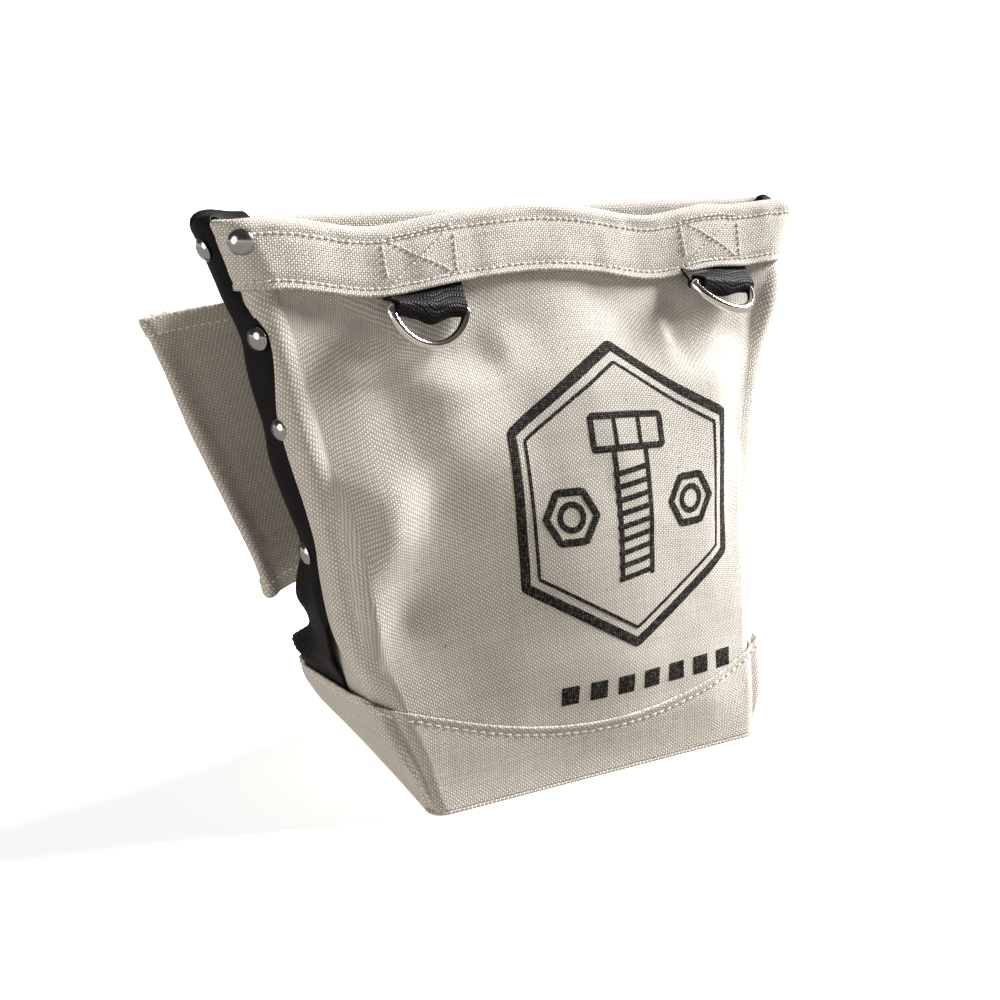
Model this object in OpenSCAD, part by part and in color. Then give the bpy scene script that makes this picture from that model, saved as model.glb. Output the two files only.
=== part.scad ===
// Canvas bolt bag: an open-topped tool bucket with a wide flattened mouth and a deep boxy
// bottom, a double bottom (boot), folded hems, riveted side straps, a rear tunnel sleeve and
// two D-rings that swing on webbing tabs.
// Frame: millimetres, +Z up, origin on the floor at the middle of the bag, front face to -Y.

/* [Body] */
// height of the bag, floor to rim
bag_h = 256; // [200:1:320]
// half width of the front panel at the floor
floor_half_w = 88; // [70:1:120]
// half width of the front panel at the rim
rim_half_w = 152; // [120:1:180]
// front face, distance in front of the middle at the floor
front_floor = 51; // [30:1:70]
// sideways slump of the upper bag
side_slump = 10; // [0:1:20]
// back face, distance behind the middle at the floor
back_floor = 60; // [40:1:80]
// depth of the narrow side at the rim
rim_side_d = 23; // [18:0.5:30]
// canvas thickness
canvas_t = 1.4; // [0.8:0.1:2]
// gap left between two layers of cloth
ply_gap = 0.3; // [0.2:0.05:0.6]

/* [Hem and boot] */
// height of the folded hem at the mouth
hem_h = 29; // [20:1:40]
// height of the boot on the left and right corners
boot_side_h = 50; // [40:1:80]
// height of the boot at the middle of the front
boot_mid_h = 26; // [20:1:60]

/* [Straps and rivets] */
// width of the side strap webbing
strap_w = 38; // [25:1:50]
// distance the strap sits behind the middle of the side
strap_back = 9; // [0:1:12]
// webbing thickness
web_t = 1.6; // [1:0.1:2.4]
// front edge of the strap at the rim, in front of the middle of the side
strap_top_front = 5; // [2:0.5:10]
// how much of the strap's rear part is folded away beside the sleeve
strap_fold = 15; // [0:1:18]
// height of the lower end of the side strap
strap_low = 50; // [40:1:80]
// rivet head diameter
rivet_d = 10.8; // [7:0.1:12]
// rivet head rise
rivet_rise = 2.8; // [1.5:0.1:4]
// rivet shank diameter
shank_d = 4; // [3:0.1:5]

/* [Ring tabs] */
// width of the tab webbing under the hem
tab_w = 37; // [25:1:50]
// width of the webbing gathered inside the ring
loop_w = 31.6; // [20:0.1:40]
// height of the ring hinge lines
hinge_z = 217.5; // [200:0.5:222]
// left ring: place across the bag, stand-off, turn, tilt and swing at rest
left_ring = [-71, 1.7, 3, 5, 20];
// right ring: place across the bag, stand-off, turn, tilt and swing at rest
right_ring = [87, 3, 9, 6, 50];
// wire diameter of the D-ring
wire_d = 4.2; // [3:0.1:5]
// radius of the D-ring arc, to the middle of the wire
ring_r = 19.6; // [16:0.1:26]
// height of the arc's centre above the straight bar
ring_up = 3.2; // [0:0.1:8]
// clearance between the wire and its webbing loop
loop_gap = 0.25; // [0.15:0.05:0.5]

/* [Rear sleeve] */
// lower edge of the sleeve
sleeve_z0 = 97; // [70:1:120]
// upper edge of the sleeve
sleeve_z1 = 218; // [180:1:225]
// distance the sleeve stands out past the side at its upper edge
sleeve_out = 36; // [15:1:50]
// droop of the sleeve at its folds
sleeve_droop = 7; // [0:1:12]
// distance of the sleeve's middle behind the bag's middle, at its lower edge
sleeve_hang_low = 64; // [60:1:80]
// the same at its upper edge
sleeve_hang_top = 56; // [40:1:70]

/* [Hidden] */
$fn = 48;
rim_z = bag_h - 4;
tab_o = canvas_t + ply_gap;
tab_t = 1.4;
hem_o = tab_o + tab_t + ply_gap;
strap_o = hem_o + canvas_t + ply_gap;
head_o = strap_o + web_t;
boot_o = canvas_t + ply_gap;
floor_t = 1.6;
inner_z = floor_t + ply_gap;
wall_z = inner_z + canvas_t + ply_gap;
side_rivets = [[-1, 242], [5.5, 205.5], [3.5, 168], [-4, 114]];
hem_rivet = [12.3, 245];
wire_r = wire_d / 2;
loop_in = wire_r + loop_gap;
loop_out = loop_in + tab_t;
hinge_o = tab_o + loop_out;
half_bar = sqrt(ring_r * ring_r - ring_up * ring_up);

canvas_c = [0.90, 0.87, 0.78];
boot_c = [0.87, 0.84, 0.75];
web_c = [0.10, 0.10, 0.11];
metal_c = [0.78, 0.77, 0.74];

function clamp01(t) = min(1, max(0, t));
function ease(a, b, t) = let (u = clamp01((t - a) / (b - a))) u * u * (3 - 2 * u);
function bump(c, w, t) = exp(-pow((t - c) / w, 2));
function lerp(a, b, t) = a + (b - a) * t;

// the bag's girth, level by level: half width, front face, side depth, back bulge
function half_w(z) = let (s = z / bag_h)
    floor_half_w + (rim_half_w - floor_half_w) * (0.56 * s + 0.44 * pow(s, 2.5))
    + 6 * bump(68, 38, z);
function front_y(z) = -front_floor + (front_floor - 2) * z / bag_h;
function side_d(z) = rim_side_d + 3 + (front_floor + back_floor - rim_side_d - 3)
    * (1 - ease(8, 128, z)) - 3 * ease(150, 245, z);
function back_y(z) = lerp(back_floor, 54, ease(0, 60, z)) - 35 * ease(70, 240, z);
function crown(z) = max(0, back_y(z) - front_y(z) - side_d(z));
function corner_r(z) = min(side_d(z) / 2 - 0.6, lerp(5, 11, ease(0, 70, z)));
function foot_taper(z) = 0.20 * pow(1 - clamp01(z / 46), 2) + 0.06 * bump(85, 32, z);
function rim_sag(x) = 4.5 * bump(-92, 26, x) + 5 * bump(52, 26, x) + 1.5 * bump(106, 14, x)
    - 1.5 * bump(-136, 18, x) - 2.5 * bump(-14, 34, x);
function drift(z) = -side_slump * (ease(0, 110, z) - 0.35 * ease(150, 250, z));

// walk round the level z at offset o; q runs 0..8, two per corner and face:
// 0-1 front, 1-2 corner, 2-3 right side, 3-4 corner, 4-5 back, 5-6 corner, 6-7 left side, 7-8 corner
function ring_xy(q, z, o) = let (
        k = floor(q), f = q - k,
        r0 = corner_r(z), r = r0 + o, w = half_w(z), d = side_d(z),
        cx = w - r0, y0 = front_y(z), yf = y0 + r0, yb = y0 + d - r0)
    k == 0 ? [lerp(-cx, cx, f), yf - r]
    : k == 1 ? [cx + r * sin(90 * f), yf - r * cos(90 * f)]
    : k == 2 ? [cx + r, lerp(yf, yb, f)]
    : k == 3 ? [cx + r * cos(90 * f), yb + r * sin(90 * f)]
    : k == 4 ? [lerp(cx, -cx, f), yb + r]
    : k == 5 ? [-cx - r * sin(90 * f), yb + r * cos(90 * f)]
    : k == 6 ? [-cx - r, lerp(yb, yf, f)]
    : [-cx - r * cos(90 * f), yf - r * sin(90 * f)];

// one point of the cloth: level walk, plus back bulge, foot taper, soft belly and rim sag
function skin(q, z, o) = let (
        p = ring_xy(((q % 8) + 8) % 8, z, o), w = half_w(z),
        y0 = front_y(z), d = side_d(z), t = clamp01((p[1] - y0) / d), u = clamp01(abs(p[0]) / w),
        rise = crown(z) * (1 - pow(u, 2.4)) * ease(0.55, 1, t),
        belly = -5 * sin(180 * clamp01(z / bag_h)) * (1 - u * u) * (1 - t),
        slump = 5 * sin(180 * clamp01(z / 210)) * ease(-0.3, -1, p[0] / w),
        x = (p[0] - slump) * (1 - foot_taper(z) * t) + drift(z))
    [x, p[1] + rise + belly, z - rim_sag(x) * ease(120, 226, z) * (1 - t)];

// outward direction across the cloth, level with the floor
function skin_out(q, z) = let (a = skin(q - 0.02, z, 0), b = skin(q + 0.02, z, 0),
        t = [b[0] - a[0], b[1] - a[1]]) [t[1], -t[0], 0] / norm(t);
function skin_up(q, z) = let (v = skin(q, z + 3, 0) - skin(q, z - 3, 0)) v / norm(v);

// the level walk mark for a point of the front face at x, and for an arc length a from the
// middle of the left side (forward is positive)
function front_q(x, z) = let (c = half_w(z) - corner_r(z)) 8 + (x - drift(z) + c) / (2 * c);
function left_q(a, z) = let (r = corner_r(z), h = side_d(z) / 2 - r, e = r * PI / 2, b = abs(a),
        v = b < h ? 0.5 * b / h
            : b < h + e ? 0.5 + (b - h) / e
            : 1.5 + (b - h - e) / (2 * (half_w(z) - r)))
    6.5 + sign(a) * v;
function side_q(a, z, left) = left ? left_q(a, z) : 9 - left_q(a, z);

// solid cloth from rows of closed profiles, each profile one path out and one path back
module loft(rows) {
    n = len(rows);
    m = len(rows[0]);
    k = (n - 1) * m;
    polyhedron(points = [for (r = rows) each r], faces = concat(
        [for (i = [0:n - 2]) for (j = [0:m - 1])
            let (a = i * m + j, b = i * m + (j + 1) % m, c = b + m, e = a + m)
            each [[a, b, c], [a, c, e]]],
        [for (j = [0:m / 2 - 2]) let (a = j, b = j + 1, c = m - 2 - j, e = m - 1 - j)
            each [[a, c, b], [a, e, c], [k + a, k + b, k + c], [k + a, k + c, k + e]]]),
        convexity = 8);
}
function reverse(v) = [for (i = [len(v) - 1:-1:0]) v[i]];

// cloth between two girth marks and two heights, at offset o, thickness t
module cloth(q0, q1, nq, z0, z1, nz, o, t) {
    loft([for (i = [0:nq]) let (q = lerp(q0, q1, i / nq)) concat(
        [for (j = [0:nz]) skin(q, lerp(z0, z1, j / nz), o + t)],
        [for (j = [nz:-1:0]) skin(q, lerp(z0, z1, j / nz), o)])]);
}

// both sides of a folded strip: outer leg at offset oo, inner leg at oi, fold at height top
function fold_out(low, low_in, top, t, oo, oi) = [[oo + t, low], [oo + t, lerp(low, top, 0.5)],
    [oo + t, top - t], [oo, top], [oi, top], [oi - t, top - t],
    [oi - t, lerp(low_in, top, 0.66)], [oi - t, lerp(low_in, top, 0.33)], [oi - t, low_in]];
function fold_in(low, low_in, top, t, oo, oi) = [[oo, low], [oo, lerp(low, top, 0.5)],
    [oo, top - t - 0.3], [oo - 0.3, top - t], [oi + 0.3, top - t], [oi, top - t - 0.3],
    [oi, lerp(low_in, top, 0.66)], [oi, lerp(low_in, top, 0.33)], [oi, low_in]];
module hem(q0, q1, nq) {
    low = rim_z + 2 - hem_h;
    out = fold_out(low, low, rim_z + 2, canvas_t, hem_o, -ply_gap);
    back = reverse(fold_in(low, low, rim_z + 2, canvas_t, hem_o, -ply_gap));
    loft([for (i = [0:nq]) let (q = lerp(q0, q1, i / nq))
        [for (p = concat(out, back)) skin(q, p[1], p[0])]]);
}

function boot_z(x) = lerp(boot_mid_h, boot_side_h, pow(clamp01(abs(x - 5) / 105), 2));
module boot_wall(q0, q1, nq) {
    loft([for (i = [0:nq]) let (q = lerp(q0, q1, i / nq), top = boot_z(skin(q, 30, 0)[0])) concat(
        [for (j = [0:6]) skin(q, lerp(inner_z, top, j / 6), boot_o + canvas_t)],
        [for (j = [6:-1:0]) skin(q, lerp(inner_z, top, j / 6), boot_o)])]);
}
module floor_slab(o, z0, t) {
    translate([0, 0, z0]) linear_extrude(t)
        polygon([for (i = [0:79]) let (p = skin(i / 10, 0, o)) [p[0], p[1]]]);
}

// front and rear edges of a side strap: full width at the rim and boot, its rear part folded
// away between, where the sleeve comes out from under it
function strap_front(z) = lerp(strap_w / 2 - strap_back, strap_top_front, ease(206, 224, z));
function strap_rear(z) = -strap_w / 2 - strap_back
    + strap_fold * (ease(76, 96, z) - ease(222, 238, z));

// a side strap: lower end on the boot, up the side, over the rim and down inside
module side_strap(left) {
    top = rim_z + 4;
    zs = [strap_low, 66, 80, 92, 110, 130, 150, 170, 190, 206, 216, 222, 224.5, 226.5, 228.3,
        230, 231.5, 233, 234.8, 237, 246];
    out = concat([for (z = zs) [strap_o + web_t, z]],
        [[strap_o + web_t, top - web_t], [strap_o, top], [-2.2, top], [-2.2 - web_t, top - web_t],
         [-2.2 - web_t, 232], [-2.2 - web_t, 212]]);
    back = concat([for (z = zs) [strap_o, z]],
        [[strap_o, top - web_t - 0.3], [strap_o - 0.3, top - web_t], [-1.9, top - web_t],
         [-2.2, top - web_t - 0.3], [-2.2, 232], [-2.2, 212]]);
    loft([for (i = [0:14]) let (u = left ? i / 14 : 1 - i / 14)
        [for (p = concat(out, reverse(back)))
            let (zw = p[0] < 0 ? top : p[1], a = lerp(strap_rear(zw), strap_front(zw), u))
            skin(side_q(a, p[1], left), p[1], p[0])]]);
}

// the frame of a piece fastened at mark q, height z: its local -Y points out of the cloth
module on_skin(q, z, o, roll = 0) {
    n = skin_out(q, z);
    u = skin_up(q, z);
    lean = asin(-(u * n));
    translate(skin(q, z, o)) rotate([0, 0, atan2(n[0], -n[1])]) rotate([-lean, 0, 0])
        rotate([0, roll, 0]) children();
}

// domed rivet: head outside at depth 0, shank through len_in of cloth, small tail flange
module rivet(len_in) {
    rotate([90, 0, 0]) rotate_extrude() polygon([[0, -len_in - 1.2], [3.4, -len_in - 1.2],
        [3.4, -len_in], [shank_d / 2, -len_in], [shank_d / 2, 0.05], [rivet_d / 2, 0.05],
        [rivet_d / 2, 0.5], [rivet_d * 0.43, rivet_rise * 0.55], [rivet_d * 0.28, rivet_rise * 0.86],
        [0, rivet_rise]]);
}
module washer() {
    rotate([90, 0, 0]) difference() {
        cylinder(d = 9.2, h = 0.8);
        translate([0, 0, -1]) cylinder(d = shank_d + 0.3, h = 3);
    }
}
// depth of the cloth behind a rivet head: the strap's inner leg only reaches the top rivet
function rivet_len(z) = head_o + (z > 210 ? 2.2 + web_t : 0) + ply_gap + 1.9;
hem_len = hem_o + canvas_t + ply_gap + canvas_t + ply_gap + 1.2;
module strap_rivets(left) {
    for (r = side_rivets) on_skin(side_q(r[0], r[1], left), r[1], head_o) rivet(rivet_len(r[1]));
}
module strap_washers(left) {
    for (r = side_rivets) on_skin(side_q(r[0], r[1], left), r[1], head_o)
        translate([0, rivet_len(r[1]) - 0.1, 0]) washer();
}
module at_hem_rivet() {
    on_skin(left_q(hem_rivet[0], hem_rivet[1]), hem_rivet[1], hem_o + canvas_t) children();
}

// the frame of a ring's hinge: its X runs along the bar and its -Y away from the bag
function turned(v, turn, tilt) = let (x = v[0] * cos(tilt) + v[2] * sin(tilt),
        z = v[2] * cos(tilt) - v[0] * sin(tilt))
    [x * cos(turn) - v[1] * sin(turn), x * sin(turn) + v[1] * cos(turn), z];
function hinge_at(g) = skin(front_q(g[0], hinge_z), hinge_z, hinge_o + g[1]);
module at_hinge(g) { translate(hinge_at(g)) rotate([0, g[3], g[2]]) children(); }

// a point of the ring's frame, in the bag's frame
function from_hinge(g, v) = hinge_at(g) + turned(v, g[2], g[3]);

// ring tab: one leg flat under the hem, running down into the loop round the ring's bar
module ring_tab(g) {
    low = rim_z + 2 - hem_h + 0.6;
    zs = [low, low + 8, low + 17, rim_z - 2];
    loft([for (u = [for (i = [-3:3]) i / 6]) concat(
        [from_hinge(g, [u * loop_w * 0.9, loop_out - tab_t + 0.15, 0.7])],
        [for (z = zs) skin(front_q(g[0] + u * tab_w, z), z, tab_o + tab_t)],
        [for (z = reverse(zs)) skin(front_q(g[0] + u * tab_w, z), z, tab_o)],
        [from_hinge(g, [u * loop_w * 0.9, loop_out - 0.15, 0.7])])]);
    at_hinge(g) rotate([0, 90, 0]) difference() {
        cylinder(r = loop_out, h = loop_w, center = true);
        cylinder(r = loop_in, h = loop_w + 2, center = true);
    }
}
module d_ring(g) {
    at_hinge(g) rotate([-g[4], 0, 0]) {
        rotate([0, 90, 0]) cylinder(r = wire_r, h = 2 * half_bar + 5.2, center = true);
        difference() {
            translate([0, 0, ring_up]) rotate([90, 0, 0])
                rotate_extrude() translate([ring_r, 0]) circle(r = wire_r);
            translate([-40, -10, 0]) cube([80, 20, 40]);
        }
    }
}

// rear sleeve: level path of one half at height z. It lies under the strap, comes out from
// under the strap's rear edge, folds at the side and hangs behind the back
function sleeve_half(z, left) = let (t = (z - sleeve_z0) / (sleeve_z1 - sleeve_z0),
        s = skin(side_q(-4, z, left), z, tab_o), out = lerp(16, sleeve_out, t), e = -sleeve_droop,
        mid = lerp(sleeve_hang_low, sleeve_hang_top, t), w = half_w(z), far = s[1] + 39,
        x = drift(z), k = left ? 1 : -1,
        start = skin(side_q(-18.5, z, left), z, 9.5), turn = s + [k * (3 - out), 24, e])
    [each [for (a = [6:-2:-10]) skin(side_q(a, z, left), z, tab_o + 0.1)],
     skin(side_q(-12.5, z, left), z, 2.1), skin(side_q(-15, z, left), z, 3),
     skin(side_q(-17.5, z, left), z, 5.5), start,
     lerp(start, turn, 0.35) + [0, 2, 0], lerp(start, turn, 0.75) + [0, 2, 0], turn,
     s + [k * (3 - 0.93 * out), 30.5, e], s + [k * (3 - 0.6 * out), 36, 0.8 * e],
     [x - k * 0.86 * w, lerp(far, mid, 0.28), z + 0.6 * e],
     [x - k * 0.62 * w, lerp(far, mid, 0.66), z + 0.5 * e],
     [x - k * 0.34 * w, lerp(far, mid, 0.93), z + 0.5 * e], [x, mid, z + 0.5 * e]];
function sleeve_path(z) = let (l = sleeve_half(z, true), r = sleeve_half(z, false))
    concat(l, [for (i = [len(r) - 2:-1:0]) r[i]]);
function path_out(p, i) = let (a = p[max(0, i - 1)], b = p[min(len(p) - 1, i + 1)],
        d = [b[0] - a[0], b[1] - a[1]]) [-d[1], d[0], 0] / norm(d);
module sleeve() {
    nz = 12;
    paths = [for (j = [0:nz]) sleeve_path(lerp(sleeve_z0, sleeve_z1, j / nz))];
    loft([for (i = [0:len(paths[0]) - 1]) concat(
        [for (j = [0:nz]) paths[j][i]],
        [for (j = [nz:-1:0]) paths[j][i] + canvas_t * path_out(paths[j], i)])]);
}

module front_panel() color(canvas_c) cloth(7.52, 9.48, 34, wall_z, rim_z, 18, 0, canvas_t);
module right_side_panel() color(canvas_c) cloth(1.52, 3.48, 10, wall_z, rim_z, 18, 0, canvas_t);
module back_panel() color(canvas_c) cloth(3.52, 5.48, 30, wall_z, rim_z, 18, 0, canvas_t);
module left_side_panel() color(canvas_c) cloth(5.52, 7.48, 10, wall_z, rim_z, 18, 0, canvas_t);
module front_hem() color(canvas_c) hem(7.22, 9.78, 36);
module back_hem() color(canvas_c) hem(3.3, 5.7, 30);
module inner_bottom() color(canvas_c) floor_slab(0, inner_z, canvas_t);
module boot_base() color(boot_c) floor_slab(boot_o + canvas_t, 0, floor_t);
module boot_front() color(boot_c) boot_wall(7.52, 9.48, 26);
module boot_right() color(boot_c) boot_wall(1.52, 3.48, 8);
module boot_back() color(boot_c) boot_wall(3.52, 5.48, 22);
module boot_left() color(boot_c) boot_wall(5.52, 7.48, 8);
module left_side_strap() color(web_c) side_strap(true);
module right_side_strap() color(web_c) side_strap(false);
module left_ring_tab() color(web_c) ring_tab(left_ring);
module right_ring_tab() color(web_c) ring_tab(right_ring);
module left_d_ring() color(metal_c) d_ring(left_ring);
module right_d_ring() color(metal_c) d_ring(right_ring);
module tunnel_sleeve() color(canvas_c) sleeve();
module hem_rivet_head() color(metal_c) at_hem_rivet() rivet(hem_len);
module left_strap_rivets() color(metal_c) strap_rivets(true);
module right_strap_rivets() color(metal_c) strap_rivets(false);
module hem_rivet_washer() color(metal_c) at_hem_rivet() translate([0, hem_len - 0.1, 0]) washer();
module left_strap_washers() color(metal_c) strap_washers(true);
module right_strap_washers() color(metal_c) strap_washers(false);

front_panel();
back_panel();
left_side_panel();
right_side_panel();
front_hem();
back_hem();
inner_bottom();
boot_base();
boot_front();
boot_right();
boot_back();
boot_left();
left_side_strap();
right_side_strap();
left_ring_tab();
right_ring_tab();
left_d_ring();
right_d_ring();
tunnel_sleeve();
hem_rivet_head();
left_strap_rivets();
right_strap_rivets();
hem_rivet_washer();
left_strap_washers();
right_strap_washers();
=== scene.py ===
"""Looks of a canvas bolt bag: duck canvas shell, webbing straps and tabs, nickel D-rings, rivets.

Lengths in the shape functions are millimetres, as in the CAD; meshes are made in metres.
The cloth surface is walked by q (0..8 round the bag), z (height) and o (distance outward).
"""
import math
import bpy
import numpy as np
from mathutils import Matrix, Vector


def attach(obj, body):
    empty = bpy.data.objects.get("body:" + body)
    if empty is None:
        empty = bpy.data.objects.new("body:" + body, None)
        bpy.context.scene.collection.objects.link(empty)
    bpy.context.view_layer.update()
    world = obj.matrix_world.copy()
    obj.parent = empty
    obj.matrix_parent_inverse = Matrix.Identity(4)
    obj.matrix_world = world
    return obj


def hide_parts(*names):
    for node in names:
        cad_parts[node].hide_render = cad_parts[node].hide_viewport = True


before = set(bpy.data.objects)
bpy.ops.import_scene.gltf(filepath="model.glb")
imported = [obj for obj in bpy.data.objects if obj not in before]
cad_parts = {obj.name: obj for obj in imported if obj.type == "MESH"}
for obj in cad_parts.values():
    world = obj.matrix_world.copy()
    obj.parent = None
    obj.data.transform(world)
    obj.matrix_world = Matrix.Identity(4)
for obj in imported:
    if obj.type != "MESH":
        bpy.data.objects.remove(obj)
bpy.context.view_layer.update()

MM = 0.001
PI = math.pi

# ---- the bag's measures, mm
BAG_H = 256.0
FLOOR_HALF_W, RIM_HALF_W = 88.0, 152.0
FRONT_FLOOR, BACK_FLOOR, RIM_SIDE_D = 51.0, 60.0, 23.0
CANVAS_T, PLY_GAP, WEB_T, TAB_T = 1.4, 0.3, 1.6, 1.4
RIM_Z = BAG_H - 4
FLOOR_T = 1.6
INNER_Z = FLOOR_T + PLY_GAP
WALL_Z = INNER_Z + CANVAS_T + PLY_GAP
BOOT_O = CANVAS_T + PLY_GAP
HEM_O = BOOT_O + TAB_T + PLY_GAP
HEM_LOW, HEM_TOP = RIM_Z + 2 - 29, RIM_Z + 2
STRAP_O = HEM_O + CANVAS_T + PLY_GAP
HEAD_O = STRAP_O + WEB_T
SIDE_RIVETS = ((-1.0, 242.0), (5.5, 205.5), (3.5, 168.0), (-4.0, 114.0))
HEM_RIVET = (12.3, 245.0)
STRAP_FRONT, STRAP_TOP_FRONT, STRAP_REAR, STRAP_FOLD = 10.0, 4.0, -28.0, 12.5
WIRE_R, RING_R, RING_UP = 2.1, 19.6, 3.2
LOOP_MID = 3.05
TAB_SHEET_T = 1.25  # the tab's own webbing; TAB_T is the room it takes under the hem
HINGE_Z, HINGE_O = 217.5, 5.45
# each ring: x along the front, stand-off, turn, tilt, swing outward from plumb
LEFT_RING, RIGHT_RING = (-71, 1.7, 3, 5, 20), (87, 3, 9, 6, 50)
TAB_W, LOOP_W = 37, 31.6
SLEEVE_LOW, SLEEVE_TOP = 97, 218
SLEEVE_SEAM, BOOT_SEAM = 6.2, 3.4  # seams, measured in from the edge they hold
LAP_Q, BOOT_ROWS = 0.40, 34  # how far the front boot laps the side boots, and rows in a boot
HEM_STEPS = 20
HEM_RADIUS = (HEM_O + CANVAS_T / 2 + 1.0) / 2
HEM_BEND_Z = HEM_TOP - CANVAS_T / 2 - HEM_RADIUS
BOX_HALF_W, BOX_LOW, BOX_HIGH = 17, 228.5, 249.0
SIDES = (("left", True), ("right", False))


# ---- small number helpers
def clamp01(t):
    return np.clip(t, 0.0, 1.0)


def ease(a, b, t):
    u = clamp01((t - a) / (b - a))
    return u * u * (3 - 2 * u)


def bump(c, w, t):
    return np.exp(-((t - c) / w) ** 2)


def lerp(a, b, t):
    return a + (b - a) * t


def ripple(u, v, cell, seed):
    """Smooth random relief between -1 and 1, with features about one cell across."""
    grid = np.random.default_rng(seed).uniform(-1, 1, (96, 96))
    a, b = np.asarray(u, float) / cell + 31.7, np.asarray(v, float) / cell + 17.3
    a, b = np.broadcast_arrays(a, b)
    i, j = np.floor(a).astype(int), np.floor(b).astype(int)
    f, g = a - i, b - j
    f, g = f * f * (3 - 2 * f), g * g * (3 - 2 * g)
    at = lambda di, dj: grid[(i + di) % 96, (j + dj) % 96]
    return lerp(lerp(at(0, 0), at(1, 0), f), lerp(at(0, 1), at(1, 1), f), g)


# ---- the cloth surface
def half_w(z):
    s = np.maximum(z, 0) / BAG_H
    return (FLOOR_HALF_W + (RIM_HALF_W - FLOOR_HALF_W) * (0.56 * s + 0.44 * s ** 2.5)
            + 6 * bump(68, 38, z))


def front_y(z):
    return -FRONT_FLOOR + (FRONT_FLOOR - 2) * z / BAG_H


def side_d(z):
    return (RIM_SIDE_D + 3 + (FRONT_FLOOR + BACK_FLOOR - RIM_SIDE_D - 3)
            * (1 - ease(8, 128, z)) - 3 * ease(150, 245, z))


def back_y(z):
    return lerp(BACK_FLOOR, 54, ease(0, 60, z)) - 35 * ease(70, 240, z)


def crown(z):
    return np.maximum(0, back_y(z) - front_y(z) - side_d(z))


def corner_r(z):
    return np.minimum(side_d(z) / 2 - 0.6, lerp(5, 11, ease(0, 70, z)))


def foot_taper(z):
    return 0.20 * (1 - clamp01(z / 46)) ** 2 + 0.06 * bump(85, 32, z)


def rim_sag(x):
    return (4.5 * bump(-92, 26, x) + 5 * bump(52, 26, x) + 1.5 * bump(106, 14, x)
            - 1.5 * bump(-136, 18, x) - 2.5 * bump(-14, 34, x))


def drift(z):
    return -10 * (ease(0, 110, z) - 0.35 * ease(150, 250, z))


def skin(q, z, o):
    """A point of the plain cloth surface, for arrays of q, z and o."""
    q, z, o = np.broadcast_arrays(*(np.asarray(v, float) for v in (q, z, o)))
    q = q % 8
    k, f = np.floor(q), q - np.floor(q)
    r0, w, d, y0 = corner_r(z), half_w(z), side_d(z), front_y(z)
    r, cx, yf, yb = r0 + o, w - r0, y0 + r0, y0 + d - r0
    s, c = np.sin(f * PI / 2), np.cos(f * PI / 2)
    xs = [lerp(-cx, cx, f), cx + r * s, cx + r, cx + r * c,
          lerp(cx, -cx, f), -cx - r * s, -cx - r, -cx - r * c]
    ys = [yf - r, yf - r * c, lerp(yf, yb, f), yb + r * s,
          yb + r, yb + r * c, lerp(yb, yf, f), yf - r * s]
    px = np.select([k == i for i in range(8)], xs)
    py = np.select([k == i for i in range(8)], ys)
    t, u = clamp01((py - y0) / d), clamp01(np.abs(px) / w)
    rise = crown(z) * (1 - u ** 2.4) * ease(0.55, 1, t)
    arch = np.sin(PI * clamp01(z / BAG_H))
    belly = -5 * arch * (1 - u * u) * (1 - t)
    slump = 5 * np.sin(PI * clamp01(z / 210)) * ease(-0.3, -1, px / w)
    x = (px - slump) * (1 - foot_taper(z) * t) + drift(z)
    return np.stack([x, py + rise + belly, z - rim_sag(x) * ease(120, 226, z) * (1 - t)], -1)


def front_q(x, z):
    c = half_w(z) - corner_r(z)
    return 8 + (x - drift(z) + c) / (2 * c)


def left_q(a, z):
    r = corner_r(z)
    h, e, b = side_d(z) / 2 - r, r * PI / 2, np.abs(a)
    v = np.where(b < h, 0.5 * b / np.maximum(h, 1e-6),
                 np.where(b < h + e, 0.5 + (b - h) / e, 1.5 + (b - h - e) / (2 * (half_w(z) - r))))
    return 6.5 + np.sign(a) * v


def side_q(a, z, left):
    return left_q(a, z) if left else 9 - left_q(a, z)


BELLY_AXIS, BELLY_REACH, BELLY_OUT = (6, 122, 52, 44), 78.0, 16.0
# Soft folds of the front, each a ridge or valley along a line: x0, z0, x1, z1, width, height.
FRONT_FOLDS = (
    (-62, 176, -52, 150, 20, 1.6),
    (-74, 200, -66, 168, 15, 1.6),
    (-122, 214, -122, 112, 17, -2.6),
    (-104, 206, -86, 176, 13, -1.8),
    (-88, 182, -80, 142, 18, -2.2),
    (-76, 156, -98, 130, 16, 3.6),
    (-104, 134, -120, 80, 22, 8.0),
    (-84, 126, -90, 84, 15, -2.6),
    (-96, 84, -112, 70, 11, -3.0),
    (-60, 112, -70, 66, 24, -1.6),
    (60, 206, 84, 180, 10, -1.6),
    (112, 204, 88, 150, 9, -2.2),
    (20, 212, 34, 198, 12, -1.8),
    (-40, 214, -22, 200, 11, -1.4),
    (96, 120, 82, 66, 12, 1.6),
    (-46, 58, 20, 48, 14, 1.2),
    (2, 176, 22, 120, 9, 0.7),
    (-34, 168, -20, 120, 10, -0.8),
)


def off_line(x, z, x0, z0, dx, dz):
    """Distance on the front from the line that runs (dx, dz) from (x0, z0)."""
    t = clamp01(((x - x0) * dx + (z - z0) * dz) / (dx * dx + dz * dz))
    return np.hypot(x - x0 - t * dx, z - z0 - t * dz)


def belly_bulge(x, z):
    """The full front stands out in the middle and dies away to the corners, hem and floor."""
    away = off_line(x, z, *BELLY_AXIS)
    side = 1 - ease(0.66, 1.0, np.abs(x - drift(z)) / half_w(z))
    return BELLY_OUT * np.exp(-(away / BELLY_REACH) ** 2) * side * (1 - 0.85 * ease(172, 228, z))


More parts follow.
